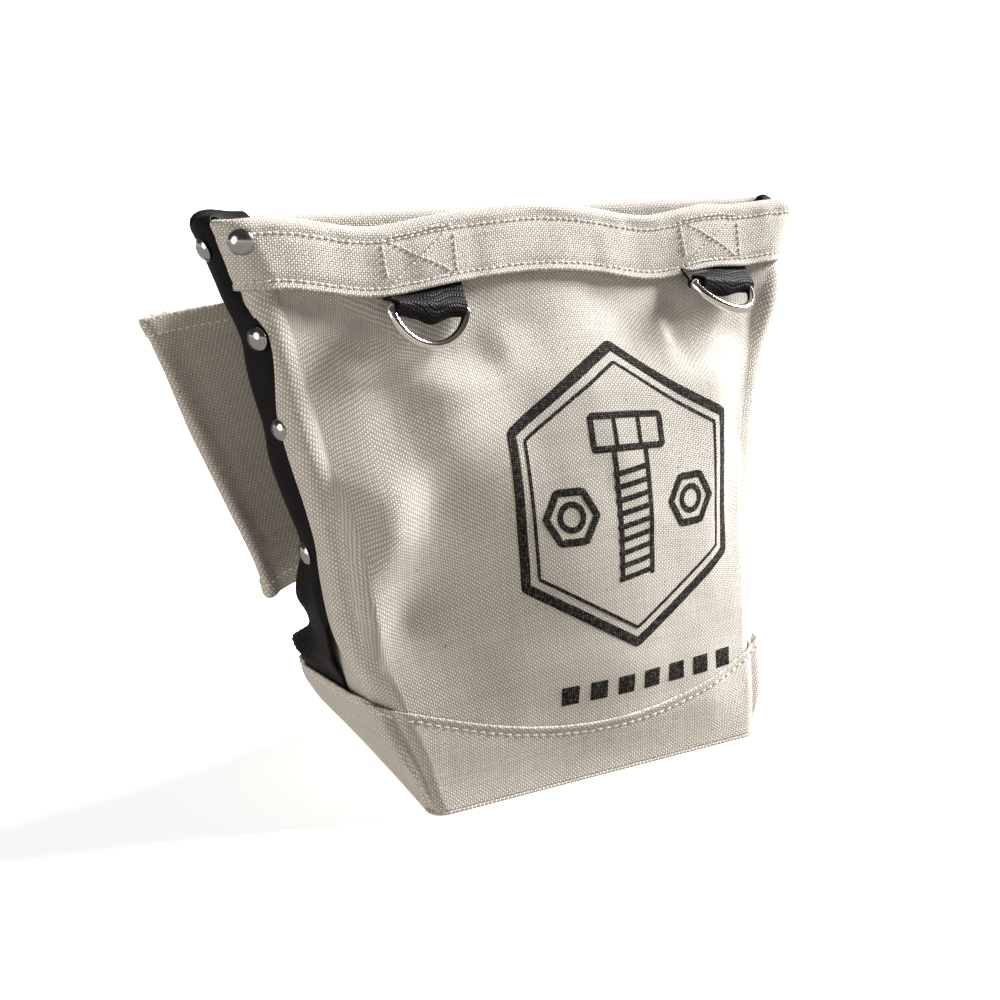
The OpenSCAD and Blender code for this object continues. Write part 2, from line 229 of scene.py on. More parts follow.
def front_relief(x, z):
    """Belly, folds and slack of the front, kept flat behind the rings."""
    total = belly_bulge(x, z)
    for x0, z0, x1, z1, width, height in FRONT_FOLDS:
        away = off_line(x, z, x0, z0, x1 - x0, z1 - z0)
        total = total + height * np.exp(-(away / width) ** 2)
    total = total + 0.35 * ripple(x, z, 26, 3) + 0.12 * ripple(x, z, 9, 4)
    guard = sum((1 - ease(23, 39, np.abs(x - g[0]))) for g in (LEFT_RING, RIGHT_RING))
    return lerp(total, np.minimum(total, 0.4) - 0.6, clamp01(guard) * ease(180, 197, z))


def relief(q, z):
    """How far the slack cloth stands in or out of the plain surface."""
    q, z = np.broadcast_arrays(np.asarray(q, float), np.asarray(z, float))
    q = q % 8
    p = skin(q, z, 0)
    turn, slack = np.where(q < 4, q + 8, q), p[..., 0] + 0.7 * p[..., 1]
    fore = ease(7.55, 8.0, turn) * (1 - ease(9.0, 9.45, turn))
    low = ease(2, 26, z)
    hem = 1 - 0.75 * ease(214, 236, z)
    other = (1 - fore) * (0.9 * ripple(slack, z, 34, 5) + 0.25 * ripple(slack, z, 11, 6))
    return (fore * front_relief(p[..., 0], z) + other) * low * hem


def cloth(q, z, o):
    return skin(q, z, np.asarray(o, float) + relief(q, z))


# ---- mesh building
def unit(v):
    return v / np.maximum(np.linalg.norm(v, axis=-1, keepdims=True), 1e-9)


def grid_normals(mid, closed=False):
    if closed:
        d1 = np.roll(mid, -1, 1) - np.roll(mid, 1, 1)
    else:
        d1 = np.gradient(mid, axis=1)
    return unit(np.cross(np.gradient(mid, axis=0), d1))


def arc(mid, axis):
    step = np.linalg.norm(np.diff(mid, axis=axis), axis=-1)
    lead = np.zeros(step.shape[:axis] + (1,) + step.shape[axis + 1:])
    return np.concatenate([lead, np.cumsum(step, axis)], axis)


def weave_uv(mid):
    """Cloth coordinates along the weave, measured on a surface."""
    across, along = arc(mid, 0), arc(mid, 1)
    return np.stack([across - across[len(across) // 2][None, :], along], -1)


def quads(a, b, c, d):
    """Four-sided faces from four index arrays of one shape."""
    return np.stack([a, b, c, d], -1).reshape(-1, 4)


def fan(tip, rim, after):
    """Triangles from one point to a ring of points."""
    return [[tip, int(a), int(b)] for a, b in zip(rim, after)]


def make(name, verts, faces, uv, material, body="bag", slot="canvas"):
    mesh = bpy.data.meshes.new(name)
    mesh.from_pydata((np.asarray(verts) * MM).tolist(), [], faces)
    mesh.validate()
    obj = bpy.data.objects.new(name, mesh)
    bpy.context.scene.collection.objects.link(obj)
    layer = mesh.uv_layers.new(name="UVMap")
    index = np.zeros(len(mesh.loops), int)
    mesh.loops.foreach_get("vertex_index", index)
    layer.data.foreach_set("uv", (np.asarray(uv)[index] * MM).astype(np.float32).ravel())
    mesh.polygons.foreach_set("use_smooth", [True] * len(mesh.polygons))
    mesh.materials.append(material)
    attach(obj, body)
    return obj


EDGE_STEPS = (PI / 5, 2 * PI / 5, 3 * PI / 5, 4 * PI / 5)


def shell_parts(mid, thick, uv, flip=False):
    """Closed cloth of one sheet: both faces and softly rounded edges, from its middle surface."""
    n, m = mid.shape[:2]
    half = grid_normals(mid) * (-1 if flip else 1) * np.asarray(thick)[..., None] / 2
    ring = ([(0, j) for j in range(m)] + [(i, m - 1) for i in range(1, n)]
            + [(n - 1, j) for j in range(m - 2, -1, -1)] + [(i, 0) for i in range(n - 2, 0, -1)])
    ri, rj = np.array(ring).T
    inward_i, inward_j = np.clip(ri, 1, n - 2), np.clip(rj, 1, m - 2)
    rim, h = mid[ri, rj], half[ri, rj]
    e = unit(rim - mid[inward_i, inward_j]) * np.linalg.norm(h, axis=-1, keepdims=True)
    verts = [(mid + half).reshape(-1, 3), (mid - half).reshape(-1, 3)]
    verts += [rim + h * math.cos(t) + e * math.sin(t) for t in EDGE_STEPS]
    flat_uv = uv.reshape(-1, 2)
    uvs = [flat_uv, flat_uv] + [uv[ri, rj]] * len(EDGE_STEPS)
    idx = np.arange(n * m).reshape(n, m)
    a, b, c, d = idx[:-1, :-1], idx[1:, :-1], idx[1:, 1:], idx[:-1, 1:]
    rows = [idx[ri, rj]] + [2 * n * m + k * len(ring) + np.arange(len(ring))
                            for k in range(len(EDGE_STEPS))] + [idx[ri, rj] + n * m]
    band = [quads(low, np.roll(low, -1), np.roll(high, -1), high)
            for low, high in zip(rows, rows[1:])]
    faces = np.concatenate([quads(a, b, c, d), quads(a, d, c, b) + n * m] + band)
    if flip:
        faces = faces[:, ::-1]
    return np.concatenate(verts), faces, np.concatenate(uvs)


def shell(name, mid, thick, material, flip=False, plain=None, **facts):
    """A piece of cloth. plain is the surface before its folds, if the weave is laid on that."""
    uv = weave_uv(mid if plain is None else plain)
    verts, faces, uv = shell_parts(mid, thick, uv, flip)
    return make(name, verts, faces.tolist(), uv, material, **facts)


def joined(parts):
    """Several verts-faces-uv parts as one, for a piece of separate solids."""
    base, verts, faces, uvs = 0, [], [], []
    for v, f, t in parts:
        verts.append(v)
        faces += [[int(i) + base for i in face] for face in f]
        uvs.append(t)
        base += len(v)
    return np.concatenate(verts), faces, np.concatenate(uvs)


def smooth_path(points, per=8):
    """A Catmull-Rom curve through points along axis 0."""
    p = np.asarray(points, float)
    p = np.concatenate([2 * p[:1] - p[1:2], p, 2 * p[-1:] - p[-2:-1]])
    out = []
    for i in range(1, len(p) - 2):
        for s in np.arange(per) / per:
            out.append(0.5 * (2 * p[i] + (p[i + 1] - p[i - 1]) * s
                              + (2 * p[i - 1] - 5 * p[i] + 4 * p[i + 1] - p[i + 2]) * s ** 2
                              + (3 * p[i] - p[i - 1] - 3 * p[i + 1] + p[i + 2]) * s ** 3))
    out.append(p[-2])
    return np.array(out)


def tube(points, radius, sides=24, closed=False):
    """A round bar along a line of points."""
    p = np.asarray(points, float)
    n = len(p)
    along = unit(np.roll(p, -1, 0) - np.roll(p, 1, 0)) if closed else unit(np.gradient(p, axis=0))
    side = np.zeros_like(p)
    side[0] = unit(np.cross(along[0], (0.31, 0.83, 0.47)))
    for i in range(1, n):
        side[i] = unit(side[i - 1] - along[i] * np.dot(side[i - 1], along[i]))
    other = np.cross(along, side)
    t = np.arange(sides) * 2 * PI / sides
    radius = np.broadcast_to(np.asarray(radius, float), (n,))
    ring = side[:, None] * np.cos(t)[None, :, None] + other[:, None] * np.sin(t)[None, :, None]
    verts = (p[:, None] + ring * radius[:, None, None]).reshape(-1, 3)
    idx = np.arange(n * sides).reshape(n, sides)
    nxt = np.roll(idx, -1, 1)
    rows = n if closed else n - 1
    after, after_nxt = np.roll(idx, -1, 0), np.roll(nxt, -1, 0)
    faces = quads(idx[:rows], nxt[:rows], after_nxt[:rows], after[:rows]).tolist()
    if not closed:
        faces += [idx[0, ::-1].tolist(), idx[-1].tolist()]
    uv = np.stack(np.broadcast_arrays(arc(p, 0)[:, None], t[None, :] * radius[:, None]), -1)
    return verts, faces, uv.reshape(-1, 2)


def lathe_rings(profile, place, sides=40):
    """Points round an axis for a profile of (radius, height), with angles and face indices."""
    centre, out, up = place
    across = unit(np.cross(up, out))
    up = np.cross(out, across)
    t = np.arange(sides) * 2 * PI / sides
    spoke = np.cos(t)[:, None] * across + np.sin(t)[:, None] * up
    rings = np.array([centre + h * out + r * spoke for r, h in profile])
    idx = np.arange(len(profile) * sides).reshape(len(profile), sides)
    return rings.reshape(-1, 3), t, idx, np.roll(idx, -1, 1)


def lathe_uv(profile, t, along):
    radii = np.array([r for r, _ in profile])
    return np.stack(np.broadcast_arrays(radii[:, None] * np.cos(t), along[:, None] + 0 * t),
                    -1).reshape(-1, 2)


def lathe(profile, place):
    """A turned piece: profile of (radius, height) from the axis round to the axis."""
    centre, out, _ = place
    inner = profile[1:-1]
    rings, t, idx, nxt = lathe_rings(inner, place)
    verts = np.concatenate([rings, [centre + profile[0][1] * out],
                            [centre + profile[-1][1] * out]])
    faces = quads(idx[:-1], nxt[:-1], nxt[1:], idx[1:]).tolist()
    faces += fan(len(rings), nxt[0], idx[0]) + fan(len(rings) + 1, idx[-1], nxt[-1])
    lengths = np.cumsum([0] + [math.dist(a, b) for a, b in zip(inner, inner[1:])])
    return verts, faces, np.concatenate([lathe_uv(inner, t, lengths), [[0, 0], [0, lengths[-1]]]])


def holed_lathe(profile, place):
    """A turned ring whose profile is a closed loop clear of the axis."""
    rings, t, idx, nxt = lathe_rings(profile, place)
    faces = quads(idx, nxt, np.roll(nxt, -1, 0), np.roll(idx, -1, 0)).tolist()
    return rings, faces, lathe_uv(profile, t, np.array([h for _, h in profile]))


def resample(points, step):
    """Points a set step apart along a line."""
    p = np.asarray(points, float)
    s = arc(p, 0)
    marks = np.arange(0, s[-1], step)
    return np.stack([np.interp(marks, s, p[:, k]) for k in range(p.shape[1])], -1)


def stitches(points, normals, length=2.5, pitch=3.3, radius=0.42, seed=1):
    """A row of thread stitches that dive into the cloth at both ends."""
    rng = np.random.default_rng(seed)
    p, nrm = np.asarray(points, float), np.asarray(normals, float)
    s = arc(p, 0)
    count = int((s[-1] - length) / pitch)
    if count < 1:
        return []
    mark = pitch * (np.arange(count) + 0.5) + rng.uniform(-0.25, 0.25, count)
    size = length * rng.uniform(0.88, 1.1, count)
    shape = np.array([-0.5, -0.38, -0.15, 0.15, 0.38, 0.5])
    lift = np.array([-0.75, 0.1, 0.55, 0.55, 0.1, -0.75]) * radius
    girth = np.array([0.55, 0.85, 1, 1, 0.85, 0.55]) * radius
    at = mark[:, None] + size[:, None] * shape[None, :]
    pos = np.stack([np.interp(at, s, p[:, k]) for k in range(3)], -1)
    out = unit(np.stack([np.interp(at, s, nrm[:, k]) for k in range(3)], -1))
    across = unit(np.cross(np.gradient(pos, axis=1), out))
    pos = pos + out * lift[None, :, None] + across * rng.uniform(-0.16, 0.16, (count, 1, 1))
    sides = 7
    t = np.arange(sides) * 2 * PI / sides
    ring = (across[:, :, None] * np.cos(t)[None, None, :, None]
            + out[:, :, None] * np.sin(t)[None, None, :, None])
    verts = (pos[:, :, None] + ring * girth[None, :, None, None]).reshape(-1, 3)
    one = np.arange(6 * sides).reshape(6, sides)
    nxt = np.roll(one, -1, 1)
    walls = quads(one[:-1], one[1:], nxt[1:], nxt[:-1])
    faces = []
    for k in range(count):
        base = k * 6 * sides
        faces += (walls + base).tolist()
        faces += [(one[0] + base).tolist(), (one[-1, ::-1] + base).tolist()]
    uv = np.stack(np.broadcast_arrays(at[:, :, None], t[None, None, :] * radius), -1)
    return [(verts, faces, uv.reshape(-1, 2))]


# ---- materials
class Nodes:
    """A material whose nodes are written as short calls."""

    def __init__(self, name):
        self.material = bpy.data.materials.new(name)
        self.material.use_nodes = True
        self.tree = self.material.node_tree
        self.tree.nodes.clear()
        out = self.tree.nodes.new("ShaderNodeOutputMaterial")
        self.shader = self.tree.nodes.new("ShaderNodeBsdfPrincipled")
        self.tree.links.new(self.shader.outputs[0], out.inputs[0])

    def add(self, kind, ins=(), out=0, **props):
        node = self.tree.nodes.new("ShaderNode" + kind)
        for key, value in props.items():
            setattr(node, key, value)
        pairs = ins.items() if isinstance(ins, dict) else enumerate(ins)
        for key, value in pairs:
            self.put(node.inputs[key], value)
        return node.outputs[out]

    def put(self, socket, value):
        if isinstance(value, bpy.types.NodeSocket):
            self.tree.links.new(value, socket)
        elif value is not None:
            socket.default_value = value

    def math(self, op, a, b=None, c=None):
        return self.add("Math", [a, b, c], operation=op)

    def mix(self, f, a, b, blend="MIX"):
        node = self.tree.nodes.new("ShaderNodeMix")
        node.data_type, node.blend_type = "RGBA", blend
        for key, value in ((0, f), (6, a), (7, b)):
            self.put(node.inputs[key], value)
        return node.outputs[2]

    def noise(self, vector, scale, detail=3.0, rough=0.5):
        return self.add("TexNoise", {"Vector": vector, "Scale": scale, "Detail": detail,
                                     "Roughness": rough})

    def range(self, value, a, b, c, d):
        return self.add("MapRange", [value, a, b, c, d])

    def bump(self, height, strength, distance):
        return self.add("Bump", {"Strength": strength, "Distance": distance, "Height": height})

    def split(self, vector):
        node = self.tree.nodes.new("ShaderNodeSeparateXYZ")
        self.put(node.inputs[0], vector)
        return node.outputs

    def shade(self, colour, tone):
        """A colour made lighter or darker by a number."""
        return self.mix(1.0, colour, self.add("CombineColor", [tone, tone, tone]), "MULTIPLY")

    def set(self, **values):
        for key, value in values.items():
            self.put(self.shader.inputs[key.replace("_", " ")], value)
        return self.material


def yarn_waves(m, pitch_u, pitch_v, wander=0.16):
    """Thread counts both ways from the cloth's own coordinates, and the place for noise."""
    uv = m.add("UVMap", uv_map="UVMap")
    place = m.add("TexCoord", out=3)
    sway = m.noise(place, 170.0, 2.0)
    sway_2 = m.noise(m.add("VectorMath", [place, (3.1, 1.7, 0.4)], operation="ADD"), 190.0, 2.0)
    uv = m.split(uv)
    u = m.math("MULTIPLY_ADD", uv[0], 1 / (pitch_u * MM),
               m.range(sway, 0.3, 0.7, -wander, wander))
    v = m.math("MULTIPLY_ADD", uv[1], 1 / (pitch_v * MM),
               m.range(sway_2, 0.3, 0.7, -wander, wander))
    return u, v, place


def canvas_height(m, u, v):
    """Plain weave: each crossing is a small pillow, long along the thread that lies on top."""
    su = m.math("SINE", m.math("MULTIPLY", u, PI))
    sv = m.math("SINE", m.math("MULTIPLY", v, PI))
    over = m.math("GREATER_THAN", m.math("MULTIPLY", su, sv), 0.0)
    au, av = m.math("ABSOLUTE", su), m.math("ABSOLUTE", sv)
    warp = m.math("MULTIPLY", m.math("POWER", au, 0.75), m.math("POWER", av, 0.38))
    weft = m.math("MULTIPLY", m.math("POWER", au, 0.38), m.math("POWER", av, 0.75))
    weft = m.math("MULTIPLY", weft, 0.45)
    return m.math("ADD", m.math("MULTIPLY", warp, over),
                  m.math("MULTIPLY", weft, m.math("SUBTRACT", 1.0, over)))


def canvas_colour(m, u, v, place, height, base, gap_shade):
    """Thread by thread colour, broad stains, seed flecks, painted shade that darkens and browns the
    gaps between threads, and paler crowns.
    """
    cell_u, cell_v = m.math("FLOOR", u), m.math("FLOOR", v)
    lane = m.add("CombineXYZ", [cell_u, m.math("MULTIPLY", v, 0.02), 0.0])
    row = m.add("CombineXYZ", [m.math("MULTIPLY", u, 0.02), cell_v, 7.0])
    lane_tone = m.noise(lane, 0.9, 2.0)
    row_tone = m.noise(row, 0.9, 2.0)
    broad = m.noise(place, 16.0, 4.0)
    fleck = m.noise(place, 520.0, 1.0)
    fine = m.noise(place, 1300.0, 2.0)
    tone = m.math("MULTIPLY", m.range(lane_tone, 0.3, 0.7, 0.93, 1.05),
                  m.range(row_tone, 0.3, 0.7, 0.94, 1.05))
    tone = m.math("MULTIPLY", tone, m.range(broad, 0.3, 0.7, 0.965, 1.03))
    tone = m.math("MULTIPLY", tone, m.range(fine, 0.3, 0.7, 0.93, 1.06))
    # Painted shade: darker down in the gaps between threads, a little paler on the thread crowns.
    tone = m.math("MULTIPLY", tone, m.range(height, 0.08, 0.8, gap_shade, 1.06))
    colour = m.shade(base, tone)
    # Painted shade: the gaps between threads also turn browner.
    gap_shaded = m.mix(m.range(height, 0.0, 0.7, 0.35, 0.0), colour, (0.40, 0.31, 0.20, 1))
    seed = m.range(fleck, 0.765, 0.80, 0.0, 0.7)
    return m.mix(seed, gap_shaded, (0.16, 0.10, 0.05, 1))


YARN_PITCH, WEAVE_DEPTH = 1.04, 0.00045
WEAVE = (YARN_PITCH, YARN_PITCH * 0.94)


# The last argument sets how dark the painted shade in the weave's gaps is.
def duck_canvas(name, base, gap_shade=0.46):
    m = Nodes(name)
    u, v, place = yarn_waves(m, *WEAVE)
    height = canvas_height(m, u, v)
    fuzz = m.noise(place, 1500.0, 3.0, 0.6)
    relief_height = m.math("MULTIPLY_ADD", fuzz, 0.22, height)
    wear = m.range(m.noise(place, 45.0, 4.0), 0.35, 0.65, 0.86, 0.96)
    m.set(Base_Color=canvas_colour(m, u, v, place, height, base, gap_shade), Roughness=wear,
          Normal=m.bump(relief_height, 0.75, WEAVE_DEPTH), Sheen_Weight=0.18, Sheen_Roughness=0.6,
          Specular_IOR_Level=0.25)
    return m.material


def thread_cotton(name, base=(0.86, 0.83, 0.76, 1)):
    m = Nodes(name)
    uv = m.split(m.add("UVMap", uv_map="UVMap"))
    twist = m.math("SINE", m.math("MULTIPLY_ADD", uv[0], 2 * PI / (0.7 * MM),
                                  m.math("MULTIPLY", uv[1], 2400.0)))
    place = m.add("TexCoord", out=3)
    tone = m.range(m.noise(place, 240.0, 3.0), 0.3, 0.7, 0.86, 1.05)
    # Painted shade: a little darker in the grooves of the twist.
    tone = m.math("MULTIPLY", tone, m.range(twist, -1.0, 1.0, 0.9, 1.04))
    m.set(Base_Color=m.shade(base, tone),
          Roughness=m.range(tone, 0.8, 1.1, 0.9, 0.75), Normal=m.bump(twist, 0.5, 0.00012),
          Sheen_Weight=0.2)
    return m.material


def webbing(name, base, row, pick, depth, chevron=0.5, shine=0.62):
    """Woven tape: rows of slanted picks, as herringbone binding and belt webbing show, with painted
    shade between the ribs.
    """
    m = Nodes(name)
    u, v, place = yarn_waves(m, pick, row, 0.08)
    lane = m.math("FLOOR", v)
    flip = m.math("MULTIPLY_ADD", m.math("MODULO", lane, 2.0), 2.0, -1.0)
    within = m.math("FRACT", v)
    slant = m.math("MULTIPLY_ADD", m.math("MULTIPLY", within, flip), chevron, u)
    ribs = m.math("ABSOLUTE", m.math("SINE", m.math("MULTIPLY", slant, PI)))
    rows = m.math("POWER", m.math("ABSOLUTE", m.math("SINE", m.math("MULTIPLY", v, PI))), 0.5)
    height = m.math("MULTIPLY", m.math("POWER", ribs, 0.6), rows)
    fuzz = m.noise(place, 1600.0, 3.0, 0.6)
    height = m.math("MULTIPLY_ADD", fuzz, 0.25, height)
    # Painted shade and highlight: darker down between the ribs, lighter on the rib tops.
    tone = m.math("MULTIPLY", m.range(height, 0.0, 1.1, 0.45, 1.25),
                  m.range(m.noise(place, 60.0, 4.0), 0.3, 0.7, 0.85, 1.2))
    dust = m.range(m.noise(place, 900.0, 2.0), 0.66, 0.74, 0.0, 0.10)
    colour = m.shade(base, tone)
    colour = m.mix(dust, colour, (0.16, 0.15, 0.14, 1))
    m.set(Base_Color=colour, Roughness=m.range(height, 0.0, 1.1, 0.85, shine),
          Normal=m.bump(height, 0.8, depth), Specular_IOR_Level=0.14)
    return m.material


def nickel(name, base, low, high, dent=0.00004):
    m = Nodes(name)
    place = m.add("TexCoord", out=3)
    cloud = m.noise(place, 90.0, 5.0, 0.6)
    stretch = m.add("Mapping", {"Vector": place, "Scale": (1.0, 1.0, 0.08)})
    hair = m.noise(stretch, 1800.0, 3.0, 0.7)
    rub = m.range(m.noise(place, 400.0, 4.0, 0.7), 0.62, 0.72, 0.0, 0.5)
    tone = m.range(cloud, 0.3, 0.7, 0.9, 1.04)
    colour = m.shade(base, tone)
    colour = m.mix(rub, colour, (0.45, 0.43, 0.40, 1))
    height = m.math("MULTIPLY_ADD", hair, 0.3, cloud)
    rough = m.math("ADD", m.range(cloud, 0.3, 0.7, low, high), m.range(hair, 0.4, 0.8, 0.0, 0.06))
    m.set(Base_Color=colour, Metallic=1.0, Roughness=rough,
          Normal=m.bump(height, 0.25, dent))
    return m.material


def print_ink(name):
    """Dark ink that sits on the thread crowns and lets canvas show in the gaps, with the canvas's
    painted gap shade.
    """
    m = Nodes(name)
    u, v, place = yarn_waves(m, *WEAVE)
    height = canvas_height(m, u, v)
    cover = m.math("ADD", height, m.range(m.noise(place, 700.0, 3.0), 0.3, 0.7, -0.22, 0.22))
    bare = m.range(cover, 0.02, 0.2, 0.55, 0.0)
    tone = m.range(m.noise(place, 120.0, 4.0), 0.3, 0.7, 0.75, 1.3)
    ink = m.shade((0.016, 0.015, 0.015, 1), tone)
    # The canvas showing in the gaps takes the canvas's darker gap colour, which is painted shade.
    m.set(Base_Color=m.mix(bare, ink, (0.42, 0.38, 0.32, 1)),
          Roughness=m.range(cover, 0, 1, 0.9, 0.72),
          Normal=m.bump(m.math("MULTIPLY_ADD", m.noise(place, 1500.0), 0.22, height),
                        0.75, 0.00042),
          Specular_IOR_Level=0.15)
    return m.material


canvas_mat = duck_canvas("duck_canvas", (0.86, 0.825, 0.765, 1))
boot_mat = duck_canvas("boot_canvas", (0.84, 0.80, 0.735, 1), 0.48)
# Painted shade: the sleeve's canvas is a darker, browner copy, for the shadow the sleeve sits in.
sleeve_shaded_mat = duck_canvas("sleeve_canvas_shaded", (0.82, 0.775, 0.70, 1))
thread_mat = thread_cotton("cotton_thread")
strap_mat = webbing("strap_webbing", (0.020, 0.019, 0.020, 1), 0.9, 0.9, 0.00012, 0.3, 0.5)
tab_mat = webbing("tab_webbing", (0.018, 0.017, 0.018, 1), 1.8, 1.3, 0.0006, 0.8, 0.42)
ring_mat = nickel("bright_nickel", (0.80, 0.775, 0.74, 1), 0.07, 0.16)
rivet_mat = nickel("rivet_nickel", (0.44, 0.45, 0.44, 1), 0.14, 0.24, 0.00008)
ink_mat = print_ink("print_ink")


# ---- canvas panels
def edge_mark(z):
    """Where the front cloth ends on the side, as arc length forward of the side's middle."""
    corner = side_d(z) / 2 - corner_r(z)
    mark = lerp(lerp(5.0, 9.5, ease(170, 204, z)), corner + 4.5, 1 - ease(60, 115, z))
    return lerp(mark, 4.4, ease(206, 224, z))


def lip_lift(q, z):
    """The front cloth rises over the side straps, and bulges below the right rim."""
    wrap = np.where(q < 8.5, ease(7.95, 7.42, q), ease(9.05, 9.58, q))
    right_bulge = 3.2 * ease(9.15, 9.5, q) * bump(207, 15, z)
    below_hem = 1.75 * (1 - ease(230, 240, z)) + 1.75 * (1 - ease(217, 226, z))
    return right_bulge + wrap * below_hem * ease(46, 70, z)


def front_span(z, n):
    """Girth marks across the front cloth at each height, from lip to lip."""
    q0 = left_q(edge_mark(z), z)
    q0 = lerp(q0, 7.5, ease(225, 236, z))
    t = np.linspace(0, 1, n)
    t = 0.5 - 0.5 * np.sign(0.5 - t) * np.abs(1 - 2 * t) ** 0.86
    return lerp(q0[None, :], (17 - q0)[None, :], t[:, None])


zf = np.linspace(WALL_Z, RIM_Z, 150)
qf = front_span(zf, 190)
front_mid = cloth(qf, zf[None, :], CANVAS_T / 2 + lip_lift(qf, zf[None, :]))
front = shell("front_panel_cloth", front_mid, CANVAS_T, canvas_mat,
              plain=skin(qf, zf[None, :], CANVAS_T / 2))
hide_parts("front_panel")

back_q = np.linspace(3.5, 5.5, 120)[:, None]
zb = np.linspace(WALL_Z, RIM_Z, 100)[None, :]
back_mid = cloth(back_q, zb, CANVAS_T / 2)
back = shell("back_panel_cloth", back_mid, CANVAS_T, canvas_mat)
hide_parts("back_panel")

for side, q0 in (("left", 5.5), ("right", 1.5)):
    mid = cloth(np.linspace(q0, q0 + 2, 50)[:, None], zb, CANVAS_T / 2)
    piece = shell(side + "_side_panel_cloth", mid, CANVAS_T, canvas_mat)
    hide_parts(side + "_side_panel")


# ---- hem, boot and floor
def tab_rise(q, z):
    """The hem stands up over the two webbing tabs sewn beneath it."""
    x = skin(q, z, 0)[..., 0]
    rise = sum(ease(g[0] - 29, g[0] - 16, x) - ease(g[0] + 16, g[0] + 29, x)
               for g in (LEFT_RING, RIGHT_RING))
    return rise * (1 - 0.6 * ease(240, 250, z))


def seam_dip(z, lines, width=1.5, depth=0.5):
    return -depth * sum(bump(line, width, z) for line in lines)


HEM_STITCH_Z = (HEM_TOP - 6.5, HEM_LOW + 3.6)


def hem_end(z):
    """Where the folded hem ends on the side, as arc length forward of the side's middle."""
    return lerp(3.0, 5.5, clamp01((z - 226) / 27))


def hem_waves(x, z):
    return 0.40 * ripple(x, z * 0.5, 8, 11) + 0.45 * ripple(x, z * 0.3, 19, 12)


def hem_surface(t, front_side):
    """Middle of the folded rim strip: up outside, over, and down inside."""
    steps, radius, top = HEM_STEPS, HEM_RADIUS, HEM_BEND_Z
    mid_o = HEM_O + CANVAS_T / 2 - radius
    legs = np.linspace(HEM_LOW + 0.7, top, steps)
    turn = np.linspace(0, PI, 9)[1:-1]
    o = np.concatenate([np.full(steps, mid_o + radius), mid_o + radius * np.cos(turn),
                        np.full(steps, mid_o - radius)])
    z = np.concatenate([legs, top + radius * np.sin(turn), legs[::-1]])
    outside = (np.arange(len(z)) < steps)[None, :]
    q0 = left_q(hem_end(z), z) if front_side else np.full_like(z, 3.3)
    q1 = 17 - q0 if front_side else 9 - q0
    qq, zz = np.broadcast_arrays(lerp(q0[None, :], q1[None, :], t[:, None]), z[None, :])
    add = seam_dip(zz, HEM_STITCH_Z) + 0.5 * bump(HEM_LOW + 0.7, 1.6, zz)
    waves = hem_waves(skin(qq, zz, 0)[..., 0], zz)
    if front_side:
        add = add + 0.8 * tab_rise(qq, zz)
    add = np.where(outside, add + waves, -0.3 * waves)
    return cloth(qq, zz, o[None, :] + add)


hems = []
for name, front_side, n in (("front_hem", True, 270), ("back_hem", False, 150)):
    mid = hem_surface(np.linspace(0, 1, n), front_side)
    piece = shell(name + "_cloth", mid, CANVAS_T, canvas_mat)
    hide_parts(name)
    hems.append((piece, mid))


def boot_z(x):
    return lerp(26.0, 50.0, clamp01(np.abs(x - 5) / 105) ** 2)


def boot_surface(q0, q1, n, kind):
    """A boot wall: low band of canvas up to a curved top edge; the front laps over the sides."""
    rise = np.linspace(0, 1, BOOT_ROWS)[None, :]
    across = np.linspace(0, 1, n)[:, None]
    lap = LAP_Q * ease(4, 48, lerp(INNER_Z, 50.0, rise)) if kind == "front" else 0.0
    qq = lerp(q0 - lap, q1 + lap, across)
    top = boot_z(skin(qq, 30.0, 0)[..., 0])
    wrap = np.where(qq < 8.5, ease(7.6, 7.3, qq), ease(9.4, 9.7, qq))
    if kind == "front":
        top = top + 1.8 * wrap
    z = lerp(INNER_Z, top, rise)
    below = top - z
    add = -0.45 * bump(BOOT_SEAM, 1.3, below) + 0.45 * bump(0.2, 1.6, below)
    if kind == "front":
        add = add + lip_lift(qq, z) + wrap * (2.2 + 2.0 * bump(30, 24, z)) * ease(3, 12, z)
    if kind == "side":
        q_mid = np.where(qq > 4.5, qq - 6.5, 2.5 - qq)
        a = q_mid * 2 * (side_d(z) / 2 - corner_r(z))
        add = add + 2.0 * (ease(-34, -26, a) - ease(18, 30, a)) * ease(16, 3, below)
        add = (add - 0.25 * ease(0.4, 0.6, q_mid)
               - 1.2 * ease(0.45, 0.62, q_mid) * ease(8, 20, below))
    return cloth(qq, z, BOOT_O + CANVAS_T / 2 + add)


boots = {}
for name, q0, q1, n, kind in (("boot_front", 7.5, 9.5, 190, "front"),
                              ("boot_right", 1.5, 3.5, 60, "side"),
                              ("boot_back", 3.5, 5.5, 110, "back"),
                              ("boot_left", 5.5, 7.5, 60, "side")):
    mid = boot_surface(q0, q1, n, kind)
    piece = shell(name + "_cloth", mid, CANVAS_T, boot_mat)
    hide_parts(name)
    boots[name] = (piece, mid)


